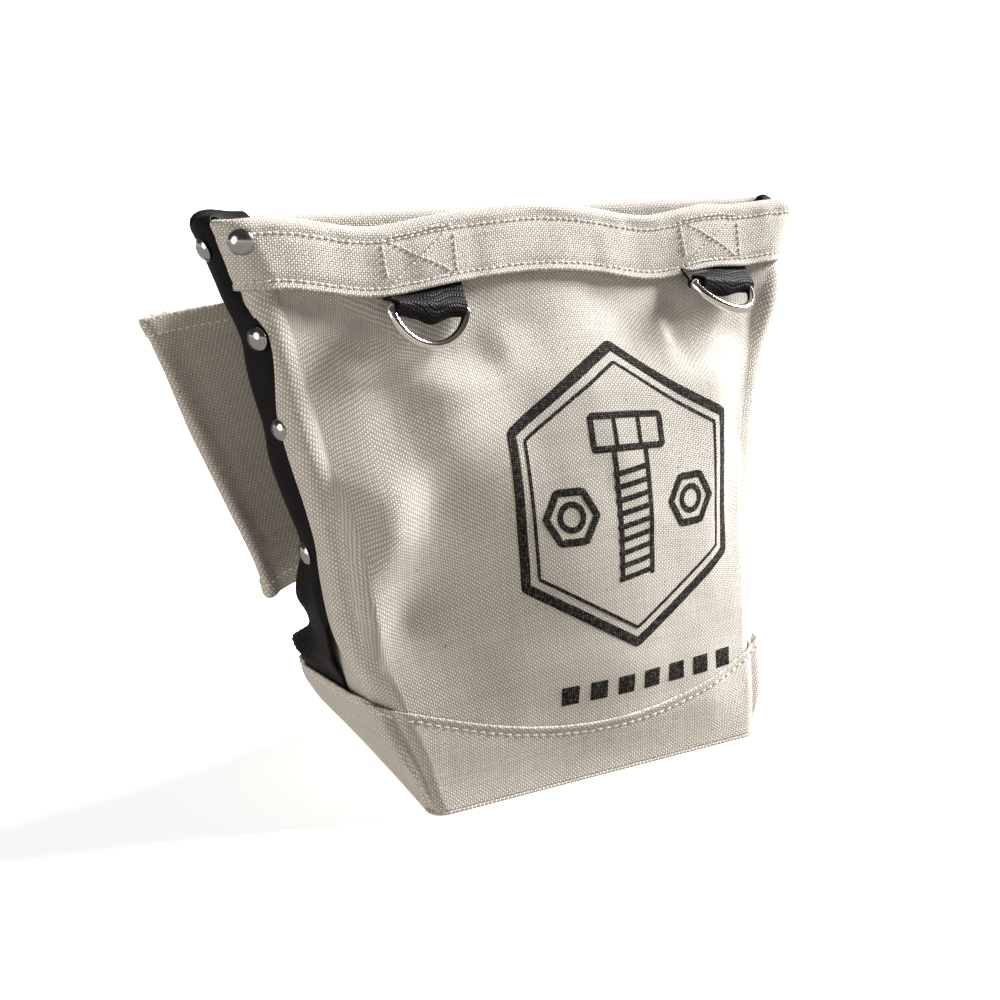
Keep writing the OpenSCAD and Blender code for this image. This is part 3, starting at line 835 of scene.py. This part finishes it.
def floor_cloth(name, o, z, thick, material, slot):
    """A cut bottom ply, laid flat, with a rounded rim."""
    n = 120
    q = np.arange(n) * 8 / n
    rim = skin(q, 0.0, o)[:, :2]
    centre = rim.mean(0)
    t = thick / 2
    rows = []
    for scale, h in ((0.25, t), (0.5, t), (0.75, t), (0.92, t), (None, t), (None, 0.6 * t),
                     (None, -0.6 * t), (None, -t), (0.92, -t), (0.75, -t), (0.5, -t), (0.25, -t)):
        inset = 0.0 if abs(h) < t else -0.4
        ring = rim if scale is None else centre + (rim - centre) * scale
        ring = ring + (unit(ring - centre) * inset if scale is None else 0)
        bow = 0.0 if scale is None else 0.15 * float(h > 0) * ripple(ring[:, 0], ring[:, 1], 20, 21)
        rows.append(np.column_stack([ring, np.full(n, z + t + h) - np.abs(bow)]))
    verts = np.concatenate(rows + [[[*centre, z + 2 * t]], [[*centre, z]]])
    idx = np.arange(len(rows) * n).reshape(len(rows), n)
    nxt = np.roll(idx, -1, 1)
    faces = quads(idx[:-1], idx[1:], nxt[1:], nxt[:-1]).tolist()
    faces += fan(idx.size, idx[0], nxt[0]) + fan(idx.size + 1, nxt[-1], idx[-1])
    return make(name, verts, faces, verts[:, :2], material, slot=slot)


inner_floor = floor_cloth("inner_bottom_cloth", -0.2, INNER_Z, CANVAS_T, canvas_mat, "canvas")
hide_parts("inner_bottom")
boot_floor = floor_cloth("boot_base_cloth", BOOT_O + CANVAS_T, 0.0, FLOOR_T, boot_mat,
                         "boot_canvas")
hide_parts("boot_base")


# ---- side straps
def strap_height(a, z, left):
    """Offset of the strap's middle: proud between rivets, sunk under the front cloth and hem."""
    edge = np.minimum(edge_mark(z), hem_end(z) + 30 * (1 - ease(214, 226, z)))
    sunk = ease(edge + 0.5, edge - lerp(6.0, 3.0, ease(214, 224, z)), a)
    o = lerp(BOOT_O, STRAP_O, sunk)
    gaps = np.ones(np.broadcast(a, z).shape)
    for _, rivet_z in SIDE_RIVETS:
        gaps = gaps * (1 - bump(rivet_z, 12, z))
    proud = (1.9 if left else 0.3) * gaps * bump(-9, 13, a) * (1 - ease(228, 240, z))
    proud = proud * ease(72, 90, z)
    curl = 3.2 * ease(-6, -14, a) * ease(82, 92, z) * (1 - ease(208, 222, z))
    top_bulge = (1.6 if left else 0.0) * bump(-7, 13, a) * ease(226, 238, z)
    pinch = -0.5 * sum(bump(rz, 7, z) * bump(ra, 8, a) for ra, rz in SIDE_RIVETS)
    o = o + (proud + pinch + curl + top_bulge) * sunk
    o = lerp(o, BOOT_O + 0.15, ease(66, 53, z))
    gather = bump(-19, 11, a) * bump(62, 9, z) * (1.0 if left else 0.35)
    o = o + 3.6 * gather + 0.85 * gather * np.sin(2 * PI * (z + 0.35 * a) / 3.3)
    o = o - 1.2 * bump(75, 7, z) * ease(0, -10, a)
    return o + WEB_T / 2


def strap_rear(z, left):
    """The rear edge: the webbing's rear part is folded away where the sleeve comes out."""
    low, high = (62, 79) if left else (60, 104)
    waist = 3.6 * bump(82, 16, z) * ease(64, 80, z) if left else 0.0
    return STRAP_REAR + waist + STRAP_FOLD * (ease(low, high, z) - ease(222, 238, z))


def strap_surface(left):
    t = np.linspace(0, 1, 44)
    radius = (STRAP_O + WEB_T / 2 + 3.0) / 2
    mid_o, top = STRAP_O + WEB_T / 2 - radius, RIM_Z + 4 - WEB_T / 2 - radius
    up = np.concatenate([np.linspace(44, 100, 50), np.linspace(102, top, 66)])
    turn = np.linspace(0, PI, 11)[1:-1]
    down = np.linspace(top, 212, 18)
    z = np.concatenate([up, top + radius * np.sin(turn), down])
    n_up, n_turn = len(up), len(turn)
    rear = strap_rear(z, left)
    rear[n_up:] = STRAP_REAR
    fore = lerp(STRAP_FRONT, STRAP_TOP_FRONT, ease(210, 226, z))
    fore[n_up:] = STRAP_TOP_FRONT
    aa = lerp(rear[None, :], fore[None, :], t[:, None])
    zz = np.broadcast_to(z, aa.shape).copy()
    o = np.empty_like(zz)
    o[:, :n_up] = strap_height(aa[:, :n_up], zz[:, :n_up], left)
    out_o = o[:, n_up - 1:n_up]
    in_o = mid_o - radius
    o[:, n_up:n_up + n_turn] = (out_o + in_o) / 2 + (out_o - in_o) / 2 * np.cos(turn)[None, :]
    o[:, n_up + n_turn:] = in_o
    if not left:
        lower = 4.5 - 3.5 * bump(-8, 4, aa)
        zz = zz - lower * ease(236, 254, zz)
    else:
        zz = zz + (1.2 * bump(-14, 6, aa) - 1.8 * bump(-3, 4, aa)) * ease(238, 254, zz)
    return cloth(side_q(aa, zz, left), zz, o)


for side, left in SIDES:
    piece = shell(side + "_side_strap_webbing", strap_surface(left), WEB_T, strap_mat,
                  flip=not left, slot="webbing")
    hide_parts(side + "_side_strap")


# ---- ring tabs and rings
def turned(v, g):
    turn, tilt = math.radians(g[2]), math.radians(g[3])
    v = np.asarray(v, float)
    x = v[..., 0] * math.cos(tilt) + v[..., 2] * math.sin(tilt)
    z = v[..., 2] * math.cos(tilt) - v[..., 0] * math.sin(tilt)
    return np.stack([x * math.cos(turn) - v[..., 1] * math.sin(turn),
                     x * math.sin(turn) + v[..., 1] * math.cos(turn), z], -1)


def hinge_at(g):
    return skin(front_q(g[0], HINGE_Z), HINGE_Z, HINGE_O + g[1])


def from_hinge(g, v):
    return hinge_at(g) + turned(v, g)


def tab_surface(g, droop, skew):
    """Webbing down behind the bar, round under it, and up the front beneath the hem."""
    u = np.linspace(-0.5, 0.5, 45)

    def on_bag(z, o):
        shift = 0.5 * skew * (1 if o > 3 else -1)
        q = front_q(g[0] + u * TAB_W + shift, np.full_like(u, z))
        return cloth(q, z, o)

    def near_bar(y, z, slack=0.0):
        hang = droop * bump(0.02, 0.20, u) + 0.6 * bump(-0.28, 0.1, u)
        shift = -skew * y / LOOP_MID
        width = LOOP_W + 2.6 * ease(1, -2, y)
        return from_hinge(g, np.stack([u * width + shift,
                                       np.full_like(u, y) - 0.25 * slack * hang,
                                       np.full_like(u, z) - slack * hang], -1))

    back_o, front_o = 2.3, 3.5
    rows = [on_bag(z, back_o) for z in (248.0, 240.0, 231.0)]
    rows += [near_bar(LOOP_MID, 1.5), near_bar(LOOP_MID * 0.94, -1.0, 0.35)]
    rows += [near_bar(LOOP_MID * math.cos(t), -LOOP_MID * math.sin(t), math.sin(t))
             for t in (0.7, 1.2, 1.57, 1.95, 2.4)]
    rows += [near_bar(-LOOP_MID, 0.2, 0.2), near_bar(-LOOP_MID * 0.74, 2.7)]
    rows += [on_bag(224.6, front_o - 0.1)] + [on_bag(z, front_o) for z in (231.0, 240.0, 248.0)]
    return np.transpose(smooth_path(np.array(rows), 7), (1, 0, 2))


def d_ring_line(g, swing):
    """The ring's centre line: straight bar, tight bends, round bow, swung out about the bar."""
    half_bar = math.sqrt(RING_R ** 2 - RING_UP ** 2)
    bow = [(RING_R * math.sin(t), RING_UP - RING_R * math.cos(t))
           for t in np.linspace(-1.28, 1.28, 41)]
    pts = [(x, 0.0) for x in np.linspace(half_bar - 4.2, -half_bar + 4.2, 13)]
    left_bend = [(-half_bar + 1.6, -0.35), (-half_bar + 0.25, -1.7)]
    right_bend = [(-x, z) for x, z in reversed(left_bend)]
    flat = np.array(pts + left_bend + [(x, z) for x, z in bow] + right_bend)
    line = smooth_path(np.concatenate([flat[-2:], flat, flat[:2]]), 4)[8:-8]
    s = math.radians(swing)
    local = np.column_stack([line[:, 0], line[:, 1] * math.sin(s), line[:, 1] * math.cos(s)])
    return from_hinge(g, local)


for side, g, droop, skew in (("left", LEFT_RING, 3.4, 0.0), ("right", RIGHT_RING, 2.2, 3.2)):
    tab = shell(side + "_ring_tab_webbing", tab_surface(g, droop, skew), TAB_SHEET_T, tab_mat,
                flip=True, slot="webbing")
    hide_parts(side + "_ring_tab")
    verts, faces, uv = tube(d_ring_line(g, g[4]), WIRE_R, 28, closed=True)
    ring = make(side + "_d_ring_nickel", verts, faces, uv, ring_mat, body=side + "_ring",
                slot="nickel")
    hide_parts(side + "_d_ring")


# ---- rear sleeve
def sleeve_half(z, left):
    """Level path of half the sleeve: from under the strap, out, round its fold, to the middle."""
    t = (z - SLEEVE_LOW) / (SLEEVE_TOP - SLEEVE_LOW)

    def side(a, o):
        return skin(side_q(a, z, left), z, o)

    k, s = (1 if left else -1), side(-4.0, BOOT_O)
    out, e = lerp(16, 36, t), -7.0
    mid, w, far, x = lerp(64, 56, t), half_w(z), s[1] + 39, drift(z)
    start = side(-18.5, 9.5)
    turn = s + (k * (3 - out), 24, e)
    return [side(6.0, BOOT_O), side(0.0, BOOT_O), side(-6.0, BOOT_O), side(-11.0, BOOT_O),
            side(-15.0, 2.6), side(-17.5, 5.5), start,
            lerp(start, turn, 0.35) + (0, 2, 0), lerp(start, turn, 0.75) + (0, 2, 0), turn,
            s + (k * (3 - 0.93 * out), 30.5, e), s + (k * (3 - 0.6 * out), 36, 0.8 * e),
            np.array([x - k * 0.86 * w, lerp(far, mid, 0.28), z + 0.6 * e]),
            np.array([x - k * 0.62 * w, lerp(far, mid, 0.66), z + 0.5 * e]),
            np.array([x - k * 0.34 * w, lerp(far, mid, 0.93), z + 0.5 * e]),
            np.array([x, mid, z + 0.5 * e])]


def sleeve_surface():
    rows = []
    for z in np.linspace(SLEEVE_LOW, SLEEVE_TOP, 70):
        rows.append(smooth_path(sleeve_half(z, True) + sleeve_half(z, False)[-2::-1], 8))
    mid = np.transpose(np.array(rows), (1, 0, 2))
    normal = -grid_normals(mid)
    x, z = arc(mid, 0), mid[..., 2]
    wave = 0.9 * ripple(x, z * 0.5, 30, 31) + 0.3 * ripple(x, z, 12, 32)
    held = ease(0, 30, x) * ease(0, 30, x[-1][None, :] - x)
    return mid + normal * (CANVAS_T / 2 + wave * held)[..., None]


sleeve_mid = sleeve_surface()
sleeve_v = arc(sleeve_mid, 1)
from_edge = np.minimum(sleeve_v, sleeve_v[:, -1:] - sleeve_v)
sleeve_thick = (CANVAS_T + 1.3 * ease(7.6, 6.9, from_edge)
                - 0.5 * bump(SLEEVE_SEAM, 0.9, from_edge))
sleeve = shell("tunnel_sleeve_cloth", sleeve_mid, sleeve_thick, sleeve_shaded_mat, flip=True)
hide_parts("tunnel_sleeve")


# ---- rivets and washers
def facing(q, z, o, dq, dz):
    """Outward and upward directions at a spot of the cloth, from its neighbours."""
    up = cloth(q, z + dz, o) - cloth(q, z - dz, o)
    return unit(np.cross(cloth(q + dq, z, o) - cloth(q - dq, z, o), up)), unit(up)


def rivet_profile(depth):
    dome = [(0.0, 2.8), (1.2, 2.74), (2.3, 2.52), (3.3, 2.12), (4.2, 1.54), (4.8, 0.98),
            (5.2, 0.52), (5.38, 0.22), (5.25, -0.04), (4.8, -0.12), (2.2, -0.12)]
    tail = [(2.0, -0.3), (2.0, -depth), (3.3, -depth), (3.45, -depth - 0.4),
            (3.2, -depth - 0.9), (1.6, -depth - 1.2), (0.0, -depth - 1.2)]
    return dome + tail


WASHER = [(2.15, -0.35), (2.3, -0.45), (4.3, -0.45), (4.6, -0.2), (4.6, 0.2), (4.3, 0.42),
          (2.3, 0.42), (2.15, 0.3)]


def strap_stack(z):
    return HEAD_O + (2.2 + WEB_T if z > 210 else 0) + PLY_GAP + 1.9


def fasteners(name, spots, node, washer_node):
    """Rivets at spots of (q, z, head offset, stack depth), with the washers behind them."""
    heads, rings = [], []
    for q, z, o, depth in spots:
        p, (out, up) = cloth(q, z, o), facing(q, z, o, 0.02, 2.0)
        heads.append(lathe(rivet_profile(depth), (p, out, up)))
        rings.append(holed_lathe(WASHER, (p - out * (depth - 0.5), out, up)))
    head = make(name + "_rivet_heads", *joined(heads), rivet_mat, slot="nickel")
    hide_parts(node)
    ring = make(name + "_rivet_washers_nickel", *joined(rings), rivet_mat, slot="nickel")
    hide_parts(washer_node)


for side, left in SIDES:
    spots = []
    for a, z in SIDE_RIVETS:
        head_o = float(strap_height(np.array(a), np.array(z), left)) + WEB_T / 2
        spots.append((float(side_q(np.array(a), z, left)), z, head_o,
                      strap_stack(z) - (HEAD_O - head_o)))
    fasteners(side + "_strap", spots, side + "_strap_rivets", side + "_strap_washers")

hem_stack = HEM_O + 3 * CANVAS_T + 2 * PLY_GAP + 1 - CANVAS_T
hem_rivet_q = float(left_q(np.array(HEM_RIVET[0]), HEM_RIVET[1]))
fasteners("hem", [(hem_rivet_q, HEM_RIVET[1], HEM_O + CANVAS_T, hem_stack)],
          "hem_rivet_head", "hem_rivet_washer")


# ---- stitching
def seam_line(mid, marks, thick, side=1.0):
    """Points and outward directions at a fractional row of each column of a shell."""
    normal = grid_normals(mid)
    cols = np.arange(mid.shape[0])
    low = np.clip(np.floor(marks).astype(int), 0, mid.shape[1] - 2)
    f = (marks - low)[:, None]
    p = mid[cols, low] * (1 - f) + mid[cols, low + 1] * f
    nrm = unit(normal[cols, low] * (1 - f) + normal[cols, low + 1] * f) * side
    return p + nrm * thick / 2, nrm


def sewn(name, lines, **facts):
    parts = []
    for k, (p, nrm) in enumerate(lines):
        parts += stitches(p, nrm, seed=100 + k, **facts)
    return make(name, *joined(parts), thread_mat, slot="canvas")


for (_, mid), name in zip(hems, ("front", "back")):
    lines = []
    for target in HEM_STITCH_Z:
        mark = (target - HEM_LOW - 0.7) / (HEM_BEND_Z - HEM_LOW - 0.7) * (HEM_STEPS - 1)
        wobble = mark + 0.25 * ripple(np.arange(mid.shape[0]), 0.0, 30, 41)
        lines.append(seam_line(mid[6:-6], wobble[6:-6], CANVAS_T))
    inside = np.full(mid.shape[0] - 12, mid.shape[1] - 5.0)
    sewn(name + "_hem_stitching", lines + [seam_line(mid[6:-6], inside, CANVAS_T)])

for name, (_, mid) in boots.items():
    last_step = np.linalg.norm(mid[:, -1] - mid[:, -2], axis=-1)
    marks = BOOT_ROWS - 1 - BOOT_SEAM / np.maximum(last_step, 0.2)
    sewn(name + "_stitching", [seam_line(mid[2:-2], marks[2:-2], CANVAS_T)],
         length=3.4, pitch=4.4, radius=0.5)

sleeve_lines = []
for want in (np.full(len(sleeve_v), SLEEVE_SEAM), sleeve_v[:, -1] - SLEEVE_SEAM):
    marks = np.array([np.interp(w, v, np.arange(len(v))) for w, v in zip(want, sleeve_v)])
    for face in (-1.0, 1.0):
        sleeve_lines.append(seam_line(sleeve_mid[14:-14], marks[14:-14], 2.0, face))
sewn("sleeve_stitching", sleeve_lines)


def box_stitch(g, name):
    """The sewn box with its cross that holds a ring tab beneath the hem."""
    x0, x1, z0, z1 = g[0] - BOX_HALF_W, g[0] + BOX_HALF_W, BOX_LOW, BOX_HIGH
    corners = {"a": (x0, z0), "b": (x1, z0), "c": (x1, z1), "d": (x0, z1)}
    lines = []
    for s, e in ("ab", "bc", "cd", "da", "ac", "bd"):
        t = np.linspace(0.0, 1.0, 40)
        x = lerp(corners[s][0], corners[e][0], t) + 0.5 * ripple(t * 40, 0, 9, 51)
        z = lerp(corners[s][1], corners[e][1], t) + 0.5 * ripple(t * 40, 5, 9, 52)
        q = front_q(x, z)
        o = HEM_O + CANVAS_T + 0.8 * tab_rise(q, z) + hem_waves(x, z) + seam_dip(z, HEM_STITCH_Z)
        lines.append((cloth(q, z, o), facing(q, z, o, 0.01, 1)[0]))
    sewn(name, lines, length=2.3, pitch=2.9)


box_stitch(LEFT_RING, "left_tab_box_stitching")
box_stitch(RIGHT_RING, "right_tab_box_stitching")


# ---- generic printed mark
def ink_stroke(points, width, closed=False):
    """A band of ink along a line of (x, z) points on the front."""
    p = np.asarray(points, float)
    if closed:
        p = np.concatenate([p, p[:1]])
    last = p[-1:] if closed else p[:0]
    p = np.concatenate([resample(p, 1.5), last])
    d = unit(np.gradient(p, axis=0))
    if closed:
        d[0] = d[-1] = unit(d[0] + d[-1])
    side = np.column_stack([-d[:, 1], d[:, 0]])
    flat = np.stack([p + side * width * k for k in np.linspace(-0.5, 0.5, 4)], 0)
    x, z = flat[..., 0], flat[..., 1]
    return shell_parts(cloth(front_q(x, z), z, CANVAS_T + 0.1), 0.12, flat, flip=True)


def ring_points(cx, cz, r, n, turn=0.0):
    t = np.linspace(0, 2 * PI, n, endpoint=False) + turn
    return [(cx + r * math.cos(a), cz + r * math.sin(a)) for a in t]


EMBLEM = (17.0, 127.0)
EMBLEM_SCALE = 1.09


def emblem_strokes():
    """A nut outline round a bolt and two nuts, over a row of squares: points, width, closed."""
    strokes = [(ring_points(0, 0, 61, 6, PI / 6), 4.0, True),
               (ring_points(0, 0, 54.5, 6, PI / 6), 1.3, True),
               ([(-17, 21), (-17, 34), (17, 34), (17, 21)], 2.6, True)]
    strokes += [([(x, 21), (x, 34)], 1.8, False) for x in (-6, 6)]
    strokes += [([(x, 20), (x, -33)], 2.2, False) for x in (-8, 8)]
    for k in range(9):
        z = 12 - 5.4 * k
        strokes.append(([(-9.5, z - 1.4), (9.5, z + 1.4)], 2.1, False))
    for x in (-31, 31):
        strokes.append((ring_points(x, -4, 11.5, 6), 3.0, True))
        strokes.append((ring_points(x, -4, 5.2, 20), 2.4, True))
    strokes += [([(x + 4.4, -78.5), (x + 13.4, -78.5)], 7.8, False) for x in range(-42, 43, 14)]
    k = EMBLEM_SCALE
    return [([(EMBLEM[0] + k * x, EMBLEM[1] + k * z) for x, z in points], width * k, closed)
            for points, width, closed in strokes]


make("front_print_ink", *joined([ink_stroke(*s) for s in emblem_strokes()]), ink_mat,
     slot="canvas")


# ---- floor, light and camera
def flat_material(name, colour, rough, glow):
    m = Nodes(name)
    place = m.add("TexCoord", out=3)
    tone = m.range(m.noise(place, 3.0, 2.0), 0.3, 0.7, 0.985, 1.0)
    return m.set(Base_Color=m.shade(colour, tone), Roughness=rough,
                 Emission_Color=(1, 1, 1, 1), Emission_Strength=glow)


GROUND_REACH = 60.0
ground = bpy.data.meshes.new("ground")
ground.from_pydata([(GROUND_REACH * x, GROUND_REACH * y, 0)
                    for x, y in ((-1, -1), (1, -1), (1, 1), (-1, 1))], [], [(0, 1, 2, 3)])
ground_obj = bpy.data.objects.new("ground", ground)
bpy.context.scene.collection.objects.link(ground_obj)
ground.materials.append(flat_material("ground_white", (0.93, 0.93, 0.93, 1), 0.9, 0.62))
ground_obj.visible_diffuse = False
ground_obj.visible_glossy = False

SKY_STOPS = ((0.0, 0.50), (0.47, 0.50), (0.492, 1.0), (0.532, 1.0), (0.537, 0.10), (0.78, 0.07),
             (1.0, 0.12))
SKY_STRENGTH = 1.06


def studio_world():
    """A bright band at the horizon for the pale backdrop, a dimmer sky, little light from below."""
    world = bpy.data.worlds.new("studio")
    world.use_nodes = True
    tree = world.node_tree
    place = tree.nodes.new("ShaderNodeTexCoord")
    split = tree.nodes.new("ShaderNodeSeparateXYZ")
    level = tree.nodes.new("ShaderNodeMapRange")
    ramp = tree.nodes.new("ShaderNodeValToRGB")
    tree.links.new(place.outputs["Generated"], split.inputs[0])
    tree.links.new(split.outputs[2], level.inputs[0])
    level.inputs[1].default_value = -1.0
    tree.links.new(level.outputs[0], ramp.inputs[0])
    stops = ramp.color_ramp.elements
    while len(stops) < len(SKY_STOPS):
        stops.new(0.5)
    for stop, (at, value) in zip(stops, SKY_STOPS):
        stop.position = at
        stop.color = (value, value * 0.93, value * 0.85, 1) if value < 1 else (1, 1, 1, 1)
    tree.links.new(ramp.outputs[0], tree.nodes["Background"].inputs[0])
    tree.nodes["Background"].inputs[1].default_value = SKY_STRENGTH
    bpy.context.scene.world = world


def lamp(name, kind, place, target, energy, colour=(1, 1, 1), **shape):
    data = bpy.data.lights.new(name, kind)
    data.energy, data.color = energy, colour
    for key, value in shape.items():
        setattr(data, key, value)
    obj = bpy.data.objects.new(name, data)
    obj.location = place
    obj.rotation_euler = (Vector(target) - Vector(place)).to_track_quat("-Z", "Y").to_euler()
    bpy.context.scene.collection.objects.link(obj)


studio_world()
CENTRE = (0, 0, 0.12)
lamp("key", "SUN", (1.70, -0.14, 1.12), CENTRE, 9.4, (0.995, 0.99, 0.985), angle=math.radians(24))
lamp("side_fill", "SUN", (-1.5, -0.34, 0.32), CENTRE, 1.3, (1.0, 0.985, 0.96),
     angle=math.radians(40))

LENS, SENSOR = 58.3, 36.0
CAMERA_AT, CAMERA_PITCH, CAMERA_TURN = (-0.409, -0.616, 0.300), 76.2, -32
camera = bpy.data.cameras.new("camera")
camera.lens, camera.sensor_width = LENS, SENSOR
camera_obj = bpy.data.objects.new("camera", camera)
camera_obj.location = CAMERA_AT
camera_obj.rotation_euler = (math.radians(CAMERA_PITCH), 0, math.radians(CAMERA_TURN))
bpy.context.scene.collection.objects.link(camera_obj)
bpy.context.scene.camera = camera_obj
bpy.context.scene.view_settings.view_transform = "Standard"
bpy.context.scene.view_settings.look = "Medium High Contrast"
